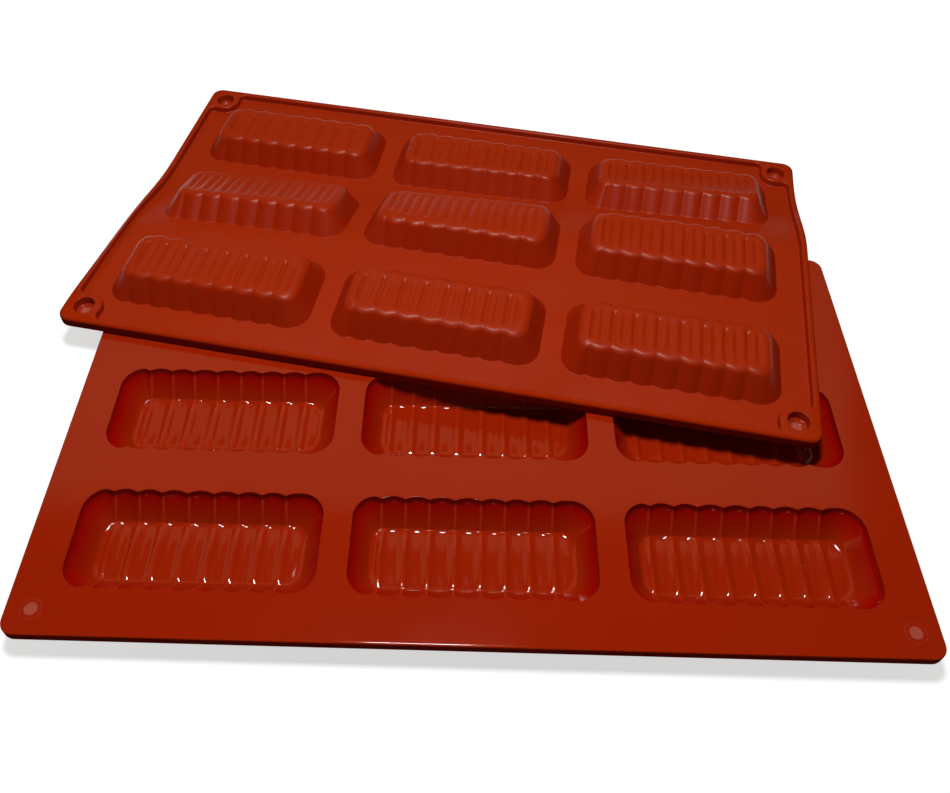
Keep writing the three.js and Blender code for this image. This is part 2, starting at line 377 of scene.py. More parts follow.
filmLook = {
    "thick": (0.282, 0.013, 0.0009, 1),
    # the thin middle is paler: painted light for the light that shines through it, beside the real
    # translucency of the glow share
    "thin": (0.46, 0.1, 0.075, 1),
    "glow": (0.75, 0.2, 0.12, 1),
    "glowShare": 0.3,
    "roughness": 0.15,
    "cloudScale": 700,
    "cloudDetail": 2,
    "cloudShare": 0.4,
    "cloudBase": 0.75,
}


def makeThinSilicone(look):
    material, tree = newMaterial("thinSilicone")
    thin = paintOf(tree, "thinnessAndRing")
    place = addNode(tree, "ShaderNodeTexCoord").outputs["Object"]
    cloud = noise(tree, place, look["cloudScale"], look["cloudDetail"])
    uneven = calc(tree, "MULTIPLY_ADD", cloud, look["cloudShare"], look["cloudBase"])
    # painted light: the thin middle gets a paler colour for the light that shines through it
    tint = mixColours(tree, calc(tree, "MULTIPLY", thin, uneven), look["thick"], look["thin"])
    shader = tree.nodes["Principled BSDF"]
    feed(shader.inputs["Base Color"], tint)
    feed(shader.inputs["Roughness"], look["roughness"])
    feed(shader.inputs["IOR"], silicone["ior"])
    glow = addNode(tree, "ShaderNodeBsdfTranslucent", {"Color": look["glow"]})
    share = calc(tree, "MULTIPLY", thin, look["glowShare"])
    showMix(tree, share, shader.outputs["BSDF"], glow.outputs["BSDF"], "Material Output")
    return material


foodSide = makeSilicone("glossySilicone", foodSideLook)
underSide = makeSilicone("mattSilicone", underSideLook)
edgeSide = makeSilicone("edgeSilicone", edgeLook)
thinSilicone = makeThinSilicone(filmLook)
print("silicone mixed")


# Fluted cups: a plain tub is laid out in rings, then Geometry Nodes press its flutes and set three in a row

cup = {
    "length": 83.8,
    "width": 36.8,
    "cornerRadius": 8.5,
    "cornerKeep": 0.45,
    "cornerChord": 3.0,
    "sideWall": {"inset": 7.3, "innerFillet": 2.2, "outerRounding": 3.8},
    "endWall": {"inset": 6.4, "innerFillet": 3.2, "outerRounding": 4.4},
    "wallThickness": 1.7,
    "floorThickness": 1.4,
    "lipWidth": 2.0,
    "lipRounding": 0.05,
    "collar": (0.15, 2.4),
    "collarRounding": 4.0,
    "footFillet": 0.2,
    "filletSteps": 8,
    "lipSteps": 2,
    "cornerSteps": 20,
    "endSteps": 8,
    "lobeSteps": (0, 0.04, 0.09, 0.15, 0.22, 0.29, 0.36, 0.43, 0.5, 0.57, 0.64, 0.71, 0.78, 0.85, 0.91, 0.96),
    "innerFloor": {"steps": (1.0, 0.75, 0.5, 0.3, 0.15, 0.07, 0.03), "arch": 0.3, "noseStart": 1.6,
                   "noseRadius": 7.0, "lobeRunOut": 0.6},
    "underFloor": {"steps": (1.0, 0.7, 0.5, 0.36, 0.26, 0.21, 0.16, 0.11, 0.06), "runOut": 0.24,
                   "lobeRunOut": 0.6},
    "underEnd": 0.12,
    "baseFlute": 0.5,
    # heights that keep the painted shade clear of the floor and the lip
    "paintedShadeFrom": 1.2,
    "paintedShadeTo": 0.1,
    "holdFrom": 2.1,
    "hold": 0.5,
    "leastGap": 0.2,
}

flutes = {
    "First Ridge": -32.4,
    "Lobe Width": 8.4,
    "Wide Start": -15.6,
    "Wide Lobe Width": 9.1,
    "Wide Lobes": 2,
    "Ridges": 8,
    "Ridge Softness": 0.1,
    "Flute Depth": 1.3,
    "Ridge Height": 1.1,
    "Lobe Hump": 0.35,
    "Lobe Spread": 0.45,
    "Cusp Highlight Power": 16.0,
    "Lip": 0.3,
    "Groove Depth": 1.0,
    "Lobe Dip": 0.75,
    "Groove Softness": 0.15,
    "Column Pitch": mould["columnPitch"],
}


def straightRuns():
    # half the straight length of the mouth's sides and of its ends
    return cup["length"] / 2 - cup["cornerRadius"], cup["width"] / 2 - cup["cornerRadius"]


def ridgePlaces():
    places, x = [], flutes["First Ridge"]
    wideFrom = flutes["Wide Start"] - cup["leastGap"]
    wideTo = flutes["Wide Start"] + (flutes["Wide Lobes"] - 0.5) * flutes["Wide Lobe Width"]
    while len(places) < flutes["Ridges"]:
        places.append(x)
        x += flutes["Wide Lobe Width"] if wideFrom <= x < wideTo else flutes["Lobe Width"]
    return places


def cupOutline():
    # the mouth, anticlockwise from the front left: (x, y, normal x, normal y, part, step)
    run, endRun = straightRuns()
    ridges = ridgePlaces()
    stops = [-run] + ridges + [run]
    along = []
    for a, b in zip(stops, stops[1:]):
        whole = a in ridges and b in ridges
        width = b - a if whole else flutes["Lobe Width"]
        for t in cup["lobeSteps"]:
            x = a + t * width if a in ridges else b - (1 - t) * width
            if a + cup["leastGap"] < x < b - cup["leastGap"] or x == a:
                along.append(x)
    along = [-run] + [x for x in along if x > -run] + [run]
    points = []
    for quarter in range(4):
        sign = -1 if quarter < 2 else 1
        if quarter % 2 == 0:
            xs = along if quarter == 0 else along[::-1]
            for step, x in enumerate(xs[:-1]):
                points.append((x, sign * cup["width"] / 2, 0, sign, quarter * 2, step))
        else:
            side = 1 if quarter == 1 else -1
            ys = np.linspace(-side * endRun, side * endRun, cup["endSteps"] + 1)
            for step, y in enumerate(ys[:-1]):
                points.append((side * cup["length"] / 2, y, side, 0, quarter * 2, step))
        cornerX = run if quarter in (0, 1) else -run
        cornerY = -endRun if quarter in (0, 3) else endRun
        for step in range(cup["cornerSteps"]):
            angle = math.radians(-90 + 90 * quarter + 90 * step / cup["cornerSteps"])
            nx, ny = math.cos(angle), math.sin(angle)
            points.append((cornerX + cup["cornerRadius"] * nx, cornerY + cup["cornerRadius"] * ny,
                           nx, ny, quarter * 2 + 1, step))
    return np.array(points)


def heldPath(path):
    # long straight stretches get a point near each end, so that a rounding beside them shades on its own
    held = [path[0]]
    for p, q in zip(path, path[1:]):
        length = np.linalg.norm(q - p)
        if length > cup["holdFrom"]:
            held += [p + (q - p) * cup["hold"] / length, q - (q - p) * cup["hold"] / length]
        held.append(q)
    return held


def wallPath(wall):
    # inner face from floor to lip and border, outer face from border to underside,
    # both as (growth from the mouth, height)
    depth = mould["height"] - cup["floorThickness"]
    lean = wall["inset"] / depth
    foot = cup["wallThickness"] - lean * mould["sheet"]
    base = cup["wallThickness"] - lean * mould["height"]
    reach, steps = 2 * wall["outerRounding"], cup["filletSteps"]
    inner = roundedPath([
        (-wall["inset"] - reach, -depth),
        (-wall["inset"], -depth, wall["innerFillet"], steps),
        (-cup["collar"][0], -cup["collar"][1], cup["collarRounding"], cup["lipSteps"] + 1),
        (0, 0, cup["lipRounding"], cup["lipSteps"]),
        (cup["lipWidth"], 0),
    ])[1:]
    outer = roundedPath([
        (cup["lipWidth"], -mould["sheet"]),
        (foot, -mould["sheet"], cup["footFillet"], cup["lipSteps"]),
        (base, -mould["height"], wall["outerRounding"], steps),
        (base - reach, -mould["height"]),
    ])[:-1]
    return heldPath(inner), heldPath(outer)


def easedShare(share):
    share = np.clip(share, 0, 1)
    return share * share * (3 - 2 * share)


def roundedRow(outline, side, end):
    # one ring round the cup: side and end walls have their own profile, and the corners stay rounder
    # than the mouth's
    toEnd = outline[:, 2:3] ** 2
    grow = side[0] + (end[0] - side[0]) * toEnd
    height = side[1] + (end[1] - side[1]) * toEnd
    ring = outline[:, :2] + outline[:, 2:4] * grow
    # far in, where a corner's own arc would turn inside out, its points go straight from side to end
    run, endRun = straightRuns()
    fromSide = np.array([run, cup["width"] / 2 + side[0]])
    chord = np.sign(outline[:, :2]) * (fromSide + ([cup["length"] / 2 + end[0], endRun] - fromSide) * toEnd)
    keep = np.clip((cup["cornerRadius"] + side[0]) / cup["cornerChord"], 0, 1)
    corner = outline[:, 4] % 2 == 1
    ring[corner] = chord[corner] + (ring[corner] - chord[corner]) * keep
    inset = min(side[0], 0)
    radius = cup["cornerRadius"] + max(side[0], 0) + inset * cup["cornerKeep"]
    middle = np.array([cup["length"] / 2 + end[0], cup["width"] / 2 + side[0]]) - radius
    beyond = np.abs(ring) - middle
    cornered = (beyond > 0).all(axis=1)
    out = beyond[cornered]
    out *= radius / np.linalg.norm(out, axis=1)[:, None]
    ring[cornered] = np.sign(ring[cornered]) * (middle + out)
    return np.column_stack([ring, height])


def cupTemplate(outline):
    innerSide, outerSide = wallPath(cup["sideWall"])
    innerEnd, outerEnd = wallPath(cup["endWall"])
    run = straightRuns()[0]
    depth = mould["height"] - cup["floorThickness"]
    inner, under = cup["innerFloor"], cup["underFloor"]

    def ridgeLift(y, height):
        # ridges are slightly arched, run over the fillet and end in a rounded nose against the wall
        end = cup["width"] / 2 - cup["sideWall"]["inset"]
        onNose = max(y - end + inner["noseStart"], 0)
        drop = inner["arch"] * (y / end) ** 2 + onNose * onNose / (2 * inner["noseRadius"])
        return np.clip(1 - (drop + height + depth) / flutes["Ridge Height"], 0, 1)

    def underLift(shrink, runOut):
        return cup["underEnd"] + (1 - cup["underEnd"]) * easedShare(shrink / runOut)

    rows = []
    halfWidth = cup["width"] / 2
    for shrink in inner["steps"]:
        lift = ridgeLift((halfWidth + innerSide[0][0]) * (1 - shrink), -depth)
        rows.append((innerSide[0], innerEnd[0], shrink, lift, easedShare(shrink / inner["lobeRunOut"]), 1))
    for side, end in zip(innerSide, innerEnd):
        rows.append((side, end, 0, ridgeLift(halfWidth + side[0], side[1]), 0, 1))
    for step, (side, end) in enumerate(zip(outerSide, outerEnd)):
        fade = cup["underEnd"] * easedShare(1 - 2 * (len(outerSide) - 1 - step) / cup["filletSteps"])
        rows.append((side, end, 0, fade, fade, 0))
    for shrink in under["steps"][::-1]:
        lifted = underLift(shrink, under["runOut"]), underLift(shrink, under["lobeRunOut"])
        rows.append((outerSide[-1], outerEnd[-1], shrink, *lifted, 0))
    points, ways, lifts, lobeLifts, inside, paintedShades = [], [], [], [], [], []
    for side, end, shrink, lift, lobeLift, face in rows:
        ring = roundedRow(outline, side, end)
        if shrink > 0:
            # the rows close in on the middle line, and at the ends on its end points
            beyond = np.maximum(np.abs(ring[:, 0]) - run, 0)
            ring[:, 0] -= np.sign(ring[:, 0]) * beyond * shrink
            ring[:, 1] *= 1 - shrink
        share = 0 if side[0] == cup["lipWidth"] else 1 - shrink
        if face:  # the flutes grow from the foot of the inner wall to its lip
            share *= cup["baseFlute"] + (1 - cup["baseFlute"]) * (1 + side[1] / depth)
        points.extend(ring.tolist())
        ways.extend((-nx * share, -ny * share, 0) for nx, ny in outline[:, 2:4])
        lifts.extend([lift] * len(outline))
        lobeLifts.extend([lobeLift] * len(outline))
        inside.extend([face] * len(outline))
        low, high = (-depth, 0) if face else (-mould["height"], -mould["sheet"])
        # wall rows clear of floor and lip are marked for the painted shade
        onWall = shrink == 0 and low + cup["paintedShadeFrom"] < side[1] < high - cup["paintedShadeTo"]
        paintedShades.extend([float(onWall)] * len(outline))
    along = [p[0] for p in points]
    faces = gridFaces(0, len(rows), len(outline))
    values = {"along": along, "fluteWay": ways, "ridgeLift": lifts, "lobeLift": lobeLifts, "inside": inside,
              "paintedWallShade": paintedShades}
    return meshFrom("cupTemplate", points, faces, values)


def fluteTree():
    tree, given, result = newGeometryTree("flutedCups", list(flutes))
    size = {key: given.outputs[key] for key in flutes}

    def does(operation):
        return lambda *values: calc(tree, operation, *values)

    minus, times, over, timesPlus = map(does, ("SUBTRACT", "MULTIPLY", "DIVIDE", "MULTIPLY_ADD"))
    least, most, power, root = map(does, ("MINIMUM", "MAXIMUM", "POWER", "SQRT"))

    def readAttribute(name, kind="FLOAT"):
        node = addNode(tree, "GeometryNodeInputNamedAttribute", {"Name": name}, data_type=kind)
        return node.outputs["Attribute"]

    ridgeLift, lobeLift, inside = map(readAttribute, ("ridgeLift", "lobeLift", "inside"))
    fluteWay = readAttribute("fluteWay", "FLOAT_VECTOR")

    # place along the wall, counted in lobes, with the wider ones shrunk to one count each
    x = readAttribute("along")
    intoWide = most(minus(x, size["Wide Start"]), 0.0)
    intoWide = least(intoWide, times(size["Wide Lobes"], size["Wide Lobe Width"]))
    extra = minus(1.0, over(size["Lobe Width"], size["Wide Lobe Width"]))
    even = minus(minus(x, size["First Ridge"]), times(intoWide, extra))
    lobes = over(even, size["Lobe Width"])

    def awayFromRidge(margin):
        # 0 on a ridge line, 1 and -1 halfway to the next, held beyond the first and last
        held = least(most(lobes, -margin), minus(size["Ridges"], margin))
        return times(minus(held, calc(tree, "ROUND", held)), 2.0)

    def blunt(value, softness):
        return root(timesPlus(value, value, times(softness, softness)))

    def hump(distance, spread):
        share = least(over(distance, spread), 1.0)
        return timesPlus(calc(tree, "COSINE", times(share, math.pi)), 0.5, 0.5)

    # on the walls a soft cusp
    away = awayFromRidge(0.5)
    soft = size["Ridge Softness"]
    flute = power(most(minus(1.0, blunt(away, soft)), 0.0), 2.0)
    press = addNode(tree, "ShaderNodeVectorMath", operation="SCALE")
    feed(press.inputs["Vector"], fluteWay)
    feed(press.inputs["Scale"], times(flute, size["Flute Depth"]))
    # on the floor rounded ridges with a low hump between them
    away = calc(tree, "ABSOLUTE", away)
    wave = hump(away, 1.0)
    ridge = times(times(wave, wave), times(ridgeLift, size["Ridge Height"]))
    lobe = hump(minus(1.0, away), size["Lobe Spread"])
    floor = timesPlus(lobe, times(lobeLift, size["Lobe Hump"]), ridge)
    # underneath a narrow groove below each ridge and another along the middle of each lobe
    bent = calc(tree, "SINE", times(awayFromRidge(0.25), math.pi))
    dip = times(lobeLift, size["Lobe Dip"])
    depth = timesPlus(wave, minus(times(ridgeLift, size["Groove Depth"]), dip), dip)
    under = times(minus(1.0, blunt(bent, size["Groove Softness"])), depth)
    rise = addNode(tree, "ShaderNodeCombineXYZ", {"Z": timesPlus(minus(floor, under), inside, under)})
    offset = addNode(tree, "ShaderNodeVectorMath", {0: press.outputs[0], 1: rise.outputs[0]}, operation="ADD")

    # the sharp lines between flutes are stored for a painted highlight in the finish, on the inner wall and
    # below its lip
    onWall = addNode(tree, "ShaderNodeVectorMath", {0: fluteWay}, operation="LENGTH").outputs["Value"]
    # the painted highlight is narrowed to the sharpest part of each cusp
    paintedCuspHighlight = power(over(flute, power(minus(1.0, soft), 2.0)), size["Cusp Highlight Power"])
    paintedCuspHighlight = times(times(paintedCuspHighlight, onWall), inside)
    position = addNode(tree, "GeometryNodeInputPosition").outputs["Position"]
    height = addNode(tree, "ShaderNodeSeparateXYZ", {0: position}).outputs["Z"]
    belowLip = calc(tree, "LESS_THAN", height, times(size["Lip"], -1.0))
    marked = addNode(tree, "GeometryNodeStoreNamedAttribute", {
        "Geometry": given.outputs["Geometry"],
        "Name": "paintedCuspHighlight",
        "Value": times(paintedCuspHighlight, belowLip),
    }, data_type="FLOAT", domain="POINT")
    pressed = addNode(tree, "GeometryNodeSetPosition", {
        "Geometry": marked.outputs["Geometry"],
        "Offset": offset.outputs[0],
    })

    # the places in one row
    first = times(size["Column Pitch"], (1.0 - mould["columns"]) / 2)
    places = addNode(tree, "GeometryNodeMeshLine", {
        "Count": mould["columns"],
        "Start Location": addNode(tree, "ShaderNodeCombineXYZ", {"X": first}).outputs[0],
        "Offset": addNode(tree, "ShaderNodeCombineXYZ", {"X": size["Column Pitch"]}).outputs[0],
    })
    setOut(tree, places.outputs["Mesh"], pressed.outputs["Geometry"], given, result)
    return tree


outline = cupOutline()
cupRow = runTree(cupTemplate(outline), fluteTree(), {**flutes, "Material": foodSide})
paintSides(cupRow)
print("row of cups pressed:", len(cupRow.polygons), "faces")


# Sheet with its rim bead and corner bosses, one skin per mould

bead = {
    "width": 3.6,
    "height": 4.6,
    "innerFoot": [(0, -1.6), (0.7, -1.6, 0.55, 5), (0.95, -4.6, 0.9, 5), (1.95, -4.6)],
    "outerSide": [(1.3, -4.6), (0, -4.6, 1.15, 5), (0, 0, 0.6, 5), (0.8, 0)],
    "sheetSteps": 5,
    "foodSide": 0.02,
}

boss = {
    "outerRadius": 5.0,
    "holeMargin": 8.5,
    "radius": 8.0,
    "blend": 2.0,
    "holeRadius": 3.75,
    "holeMouthRadius": 4.15,
    "holeEdge": 0.3,
    "holeEdgeSteps": 4,
    "blendSteps": 4,  # these add up to the steps of a cup's corner
    "roundSteps": 8,
    "edgeSteps": 10,
    "straightSteps": 3,
    "ringFrom": 4,
}

film = {
    "section": [(3.7, 0), (3.74, -0.05), (3.74, -1.5), (2.9, -1.5), (2.75, -1.42), (2.12, -0.58),
                (1.95, -0.5)],
    "thickness": 1.5,
    "skin": 0.5,
    "topSteps": (1.3, 1.9, 2.3, 3.2),
    "thinRadius": 2.3,
    "thinBlend": 0.4,
    "ringRadius": 3.4,
    "ringPaleShare": 0.22,
    "underSteps": (1.0,),
    "roundSteps": 48,
}


def arcPoints(centre, radius, fromAngle, toAngle, steps):
    angles = np.linspace(fromAngle, toAngle, steps + 1)
    return [(centre[0] + radius * math.cos(a), centre[1] + radius * math.sin(a)) for a in angles]


def cellReaches():
    # from the middle of an outermost cup to the mould's end and side
    return (mould["length"] / 2 - (mould["columns"] - 1) / 2 * mould["columnPitch"],
            mould["width"] / 2 - (mould["rows"] - 1) / 2 * mould["rowPitch"])


def bossLines():
    # inner and outer line round one corner, as distances from the two outer edges,
    # from the front side to the left end
    margin, radius, blend, line = boss["holeMargin"], boss["radius"], boss["blend"], bead["width"]
    side = line + blend - margin
    reach = math.sqrt((radius + blend) ** 2 - side ** 2)
    toBoss = math.atan2(side, reach)
    start = margin + reach
    lead, tail = (whole - run for whole, run in zip(cellReaches(), straightRuns()))
    first = arcPoints((start, line + blend), blend, -math.pi / 2, -math.pi + toBoss, boss["blendSteps"])
    corner = arcPoints((margin, margin), radius, toBoss, math.pi / 2 - toBoss, boss["roundSteps"])
    second = [(y, x) for x, y in first[::-1]]
    inner = [(lead, line), ((lead + start) / 2, line)] + first[:-1] + corner + second[1:]
    inner += [(line, (tail + start) / 2), (line, tail)]
    edge, steps = boss["outerRadius"], boss["straightSteps"]
    outer = [(lead, 0), ((lead + start) / 2, 0)]
    outer += [(start + (edge - start) * t / steps, 0) for t in range(steps)]
    outer += arcPoints((edge, edge), edge, -math.pi / 2, -math.pi, boss["edgeSteps"])
    outer += [(0, edge + (start - edge) * t / steps) for t in range(1, steps + 1)]
    outer += [(0, (tail + start) / 2), (0, tail)]
    return np.array(inner), np.array(outer)


def cellEdge(column, row, outline):
    # for each point of the cup's outline: the cell edge that it meets, the outer edge beyond, its place on
    # a mould corner, and whether the edge that starts there lies along the rim
    steps = cup["cornerSteps"]
    half = steps // 2
    endReach, sideReach = cellReaches()
    run, endRun = straightRuns()
    atEnd = {-1: column == 0, 1: column == mould["columns"] - 1}
    atSide = {-1: row == 0, 1: row == mould["rows"] - 1}
    innerLine, outerLine = bossLines()
    reachX = {s: endReach - bead["width"] if atEnd[s] else mould["columnPitch"] / 2 for s in (-1, 1)}
    reachY = {s: sideReach - bead["width"] if atSide[s] else mould["rowPitch"] / 2 for s in (-1, 1)}
    edge = []
    for x, y, nx, ny, part, step in outline:
        part, step = int(part), int(step)
        quarter = part // 2
        if part % 2 == 0:
            if quarter in (0, 2):
                s = -1 if quarter == 0 else 1
                edge.append(((x, s * reachY[s]), (x, s * sideReach) if atSide[s] else None, None, atSide[s]))
            else:
                s = 1 if quarter == 1 else -1
                edge.append(((s * reachX[s], y), (s * endReach, y) if atEnd[s] else None, None, atEnd[s]))
            continue
        sx = 1 if quarter in (0, 1) else -1
        sy = -1 if quarter in (0, 3) else 1
        fromSide = quarter % 2 == 0
        k = step if fromSide else steps - step
        if atEnd[sx] and atSide[sy]:
            inner = (sx * (endReach - innerLine[k][0]), sy * (sideReach - innerLine[k][1]))
            outer = (sx * (endReach - outerLine[k][0]), sy * (sideReach - outerLine[k][1]))
            edge.append((inner, outer, ((sx, sy), k), True))
            continue
        if k <= half:
            point = (sx * (run + (reachX[sx] - run) * k / half), sy * reachY[sy])
        else:
            point = (sx * reachX[sx], sy * (reachY[sy] + (endRun - reachY[sy]) * (k - half) / half))
        onSide = k < half if fromSide else k <= half
        outer = None
        if atSide[sy] and k <= half:
            outer = (point[0], sy * sideReach)
        elif atEnd[sx] and k >= half:
            outer = (sx * endReach, point[1])
        edge.append((point, outer, None, atSide[sy] if onSide else atEnd[sx]))
    return edge


def sheetMesh(outline):
    points, faces = [], []

    def addRows(rows):
        start = len(points)
        for row in rows:
            points.extend(row)
        faces.extend(gridFaces(start, len(rows), len(rows[0])))

    def stitch(line, ring, centre):
        # triangles between a line that goes round a hole and the hole's own ring
        def anglesOf(row):
            return np.arctan2(row[:, 1] - centre[1], row[:, 0] - centre[0]) % (2 * math.pi)

        line = line[np.argsort(anglesOf(line))]
        lineAngles, ringAngles = anglesOf(line), anglesOf(ring)
        start = len(points)
        points.extend(map(tuple, line))
        points.extend(map(tuple, ring))
        i = j = 0
        while i < len(line) or j < len(ring):
            nextLine = lineAngles[i + 1] if i + 1 < len(line) else lineAngles[0] + 2 * math.pi
            nextRing = ringAngles[j + 1] if j + 1 < len(ring) else 2 * math.pi
            onLine, onRing = start + i % len(line), start + len(line) + j % len(ring)
            if j == len(ring) or (i < len(line) and nextLine <= nextRing):
                faces.append((onLine, start + (i + 1) % len(line), onRing))
                i += 1
            else:
                faces.append((onLine, start + len(line) + (j + 1) % len(ring), onRing))
                j += 1

    opening = outline[:, :2] + outline[:, 2:4] * cup["lipWidth"]
    following = {}
    for column in range(mould["columns"]):
        for row in range(mould["rows"]):
            middle = np.array([(column - (mould["columns"] - 1) / 2) * mould["columnPitch"],
                               (row - (mould["rows"] - 1) / 2) * mould["rowPitch"]])
            edge = cellEdge(column, row, outline)
            rim = np.array([e[0] for e in edge]) + middle
            hole = opening + middle
            steps = bead["sheetSteps"]
            flat = [hole + (rim - hole) * s / steps for s in range(steps + 1)]
            addRows([[(x, y, 0) for x, y in ring] for ring in flat])
            addRows([[(x, y, -mould["sheet"]) for x, y in ring] for ring in flat])
            addRows([[(x, y, z) for x, y in hole] for z in (0, -mould["sheet"])])
            keys = [tuple(np.round(p, 3)) for p in rim]
            for i, (point, outer, corner, onRim) in enumerate(edge):
                if onRim and outer is not None:
                    following[keys[i]] = (keys[(i + 1) % len(edge)], rim[i], np.array(outer) + middle, corner)
    loop, key = [], next(iter(following))
    while key in following:
        key, inner, outer, corner = following.pop(key)
        loop.append((inner, outer, corner))
    print("rim loop", len(loop), "points, left over", len(following))

    def normalsOf(line):
        ahead = np.roll(line, -1, axis=0) - line
        ahead /= np.linalg.norm(ahead, axis=1)[:, None]
        along = ahead + np.roll(ahead, 1, axis=0)
        along /= np.linalg.norm(along, axis=1)[:, None]
        return np.stack([along[:, 1], -along[:, 0]], axis=1)

    inner = np.array([p[0] for p in loop])
    outer = np.array([p[1] for p in loop])
    innerWay, outerWay = normalsOf(inner), normalsOf(outer)
    foot = roundedPath(bead["innerFoot"])
    side = roundedPath(bead["outerSide"])
    footRows = [[(*(p + n * d), z) for p, n in zip(inner, innerWay)] for d, z in foot]
    sideRows = [[(*(p - n * d), z) for p, n in zip(outer, outerWay)] for d, z in side]
    addRows(footRows)
    edgeStart = len(points)
    addRows(sideRows)
    edgeEnd = len(points)
    topRow = [(x, y, 0) for x, y in inner]
    count = len(loop)
    ringFrom, ringTo = boss["ringFrom"], cup["cornerSteps"] - boss["ringFrom"]
    inBoss = []
    for i in range(count):
        j = (i + 1) % count
        tagged = loop[i][2] is not None and loop[j][2] is not None and loop[i][2][0] == loop[j][2][0]
        inBoss.append(tagged and all(ringFrom <= loop[n][2][1] <= ringTo for n in (i, j)))
    for i in range(count):
        if not inBoss[i]:
            j = (i + 1) % count
            for a, b in ((footRows[-1], sideRows[0]), (sideRows[-1], topRow)):
                start = len(points)
                points.extend([a[i], a[j], b[j], b[i]])
                faces.append((start, start + 1, start + 2, start + 3))
    # each boss: a ring of faces from its underside to the hole, up the hole's wall and out over the flat top
    for sx in (-1, 1):
        for sy in (-1, 1):
            members = [i for i in range(count) if loop[i][2] is not None and loop[i][2][0] == (sx, sy)
                       and ringFrom <= loop[i][2][1] <= ringTo]
            if members[-1] - members[0] != len(members) - 1:
                gap = next(n for n in range(len(members) - 1) if members[n + 1] - members[n] > 1)
                members = members[gap + 1:] + members[:gap + 1]
            under = np.array([footRows[-1][i] for i in members] + [sideRows[0][i] for i in members[::-1]])
            over = np.array([topRow[i] for i in members] + [sideRows[-1][i] for i in members[::-1]])
            centre = np.array([sx * (mould["length"] / 2 - boss["holeMargin"]),
                               sy * (mould["width"] / 2 - boss["holeMargin"])])

            def ring(radius, z):
                turns = np.arange(film["roundSteps"]) / film["roundSteps"] * 2 * math.pi
                way = np.column_stack([np.cos(turns), np.sin(turns)])
                return np.column_stack([centre + way * radius, np.full(len(way), z)])

            radius, mouth, soft = boss["holeRadius"], boss["holeMouthRadius"], boss["holeEdge"]
            rows = [ring(mouth + soft - soft * math.sin(t), -bead["height"] + soft - soft * math.cos(t))
                    for t in np.linspace(0, math.pi / 2, boss["holeEdgeSteps"] + 1)]
            rows += [ring(radius, -film["thickness"]), ring(radius, 0)]
            addRows([[tuple(p) for p in row] for row in rows])
            stitch(under, rows[0], centre)
            stitch(over, rows[-1], centre)
    inside = np.array([float(p[2] > -bead["foodSide"]) for p in points])
    inside[edgeStart:edgeEnd] -= inside[edgeStart:edgeEnd] < 0.5  # -1 on the rim's outer side
    return meshFrom("sheet", points, faces, {"inside": inside})


sheet = sheetMesh(outline)
paintSides(sheet)
print("sheet drawn:", len(sheet.polygons), "faces")


# Corner films: the stepped skin that closes each blind hole

def filmMesh():
    angles = np.arange(film["roundSteps"]) / film["roundSteps"] * 2 * math.pi
    way = np.column_stack([np.cos(angles), np.sin(angles)])
    under = [(r, -film["skin"]) for r in film["underSteps"]]
    rows = [(r, 0) for r in film["topSteps"]] + film["section"] + under
    points, thin = [], []
    for radius, z in rows:
        points.extend([(x * radius, y * radius, z) for x, y in way])
        share = float(np.clip((film["thinRadius"] - radius) / film["thinBlend"], 0, 1))
        # near its outer edge the top is given a faint paler ring, though the film is thick there
        if z == 0 and radius > film["ringRadius"]:
            share = film["ringPaleShare"]
        thin.extend([share] * len(way))
    count = len(way)
    faces = gridFaces(0, len(rows), count)
    top, bottom = len(points), len(points) + 1
    points += [(0, 0, 0), (0, 0, -film["skin"])]
    thin += [1.0, 1.0]
    last = (len(rows) - 1) * count
    for i in range(count):
        j = (i + 1) % count
        faces.append((top, i, j))
        faces.append((bottom, last + j, last + i))
    return meshFrom("filmTemplate", points, faces, {"thinnessAndRing": thin})


def filmTree():
    tree, given, result = newGeometryTree("cornerFilms", ["Span X", "Span Y"])
    places = addNode(tree, "GeometryNodeMeshGrid", {
        "Size X": given.outputs["Span X"],
        "Size Y": given.outputs["Span Y"],
        "Vertices X": 2,
        "Vertices Y": 2,
    })
    setOut(tree, places.outputs["Mesh"], given.outputs["Geometry"], given, result)
    return tree


filmsMesh = runTree(filmMesh(), filmTree(), {
    "Span X": mould["length"] - 2 * boss["holeMargin"],
    "Span Y": mould["width"] - 2 * boss["holeMargin"],
    "Material": thinSilicone,
})
print("films set:", len(filmsMesh.polygons), "faces")


# Both mouldings are set in place and stand for their solids

rowNames = ("front", "middle", "back")
for side, place, facing in (("lower", standLower, 1), ("upper", layUpper, -1)):
    body = side + "_mould"
    nodes = frame["record"]["behaviour"]["bodies"][body]
    for row, rowName in enumerate(rowNames):
        name = side + "_cups_" + rowName
        shift = facing * (row - (mould["rows"] - 1) / 2) * mould["rowPitch"]
        rowNodes = [n for n in nodes if n.startswith(side + "_cup_" + rowName)]
        mesh = placedCopy(cupRow, name, place, shift)
        finishPiece(name, mesh, body, rowNodes, shading["cupWeight"])
    filmNodes = [n for n in nodes if "_film_" in n]
    sheetNodes = [n for n in nodes if "_film_" not in n and "_cup_" not in n]
    for name, mesh, slot, flatNodes in ((side + "_sheet", sheet, "silicone", sheetNodes),
                                        (side + "_films", filmsMesh, "thin_silicone", filmNodes)):
        finishPiece(name, placedCopy(mesh, name, place), body, flatNodes, shading["flatWeight"])
    print(side, "mould placed")


# Camera, as read from the photograph, whose frame was cropped: the lens's middle isn't the picture's

view = {
    "focalPixels": 954.582,
    "azimuth": math.radians(0.2056),
    "elevation": math.radians(47.1505),
    "roll": math.radians(1.3703),
    "distance": 404.748,
    "target": (-8.248, 67.798, 12.0),
    "middle": (456.818, 283.277),
    "picture": (950, 793),
    "sensorWidth": 36.0,
    "clipStart": 0.01,
}


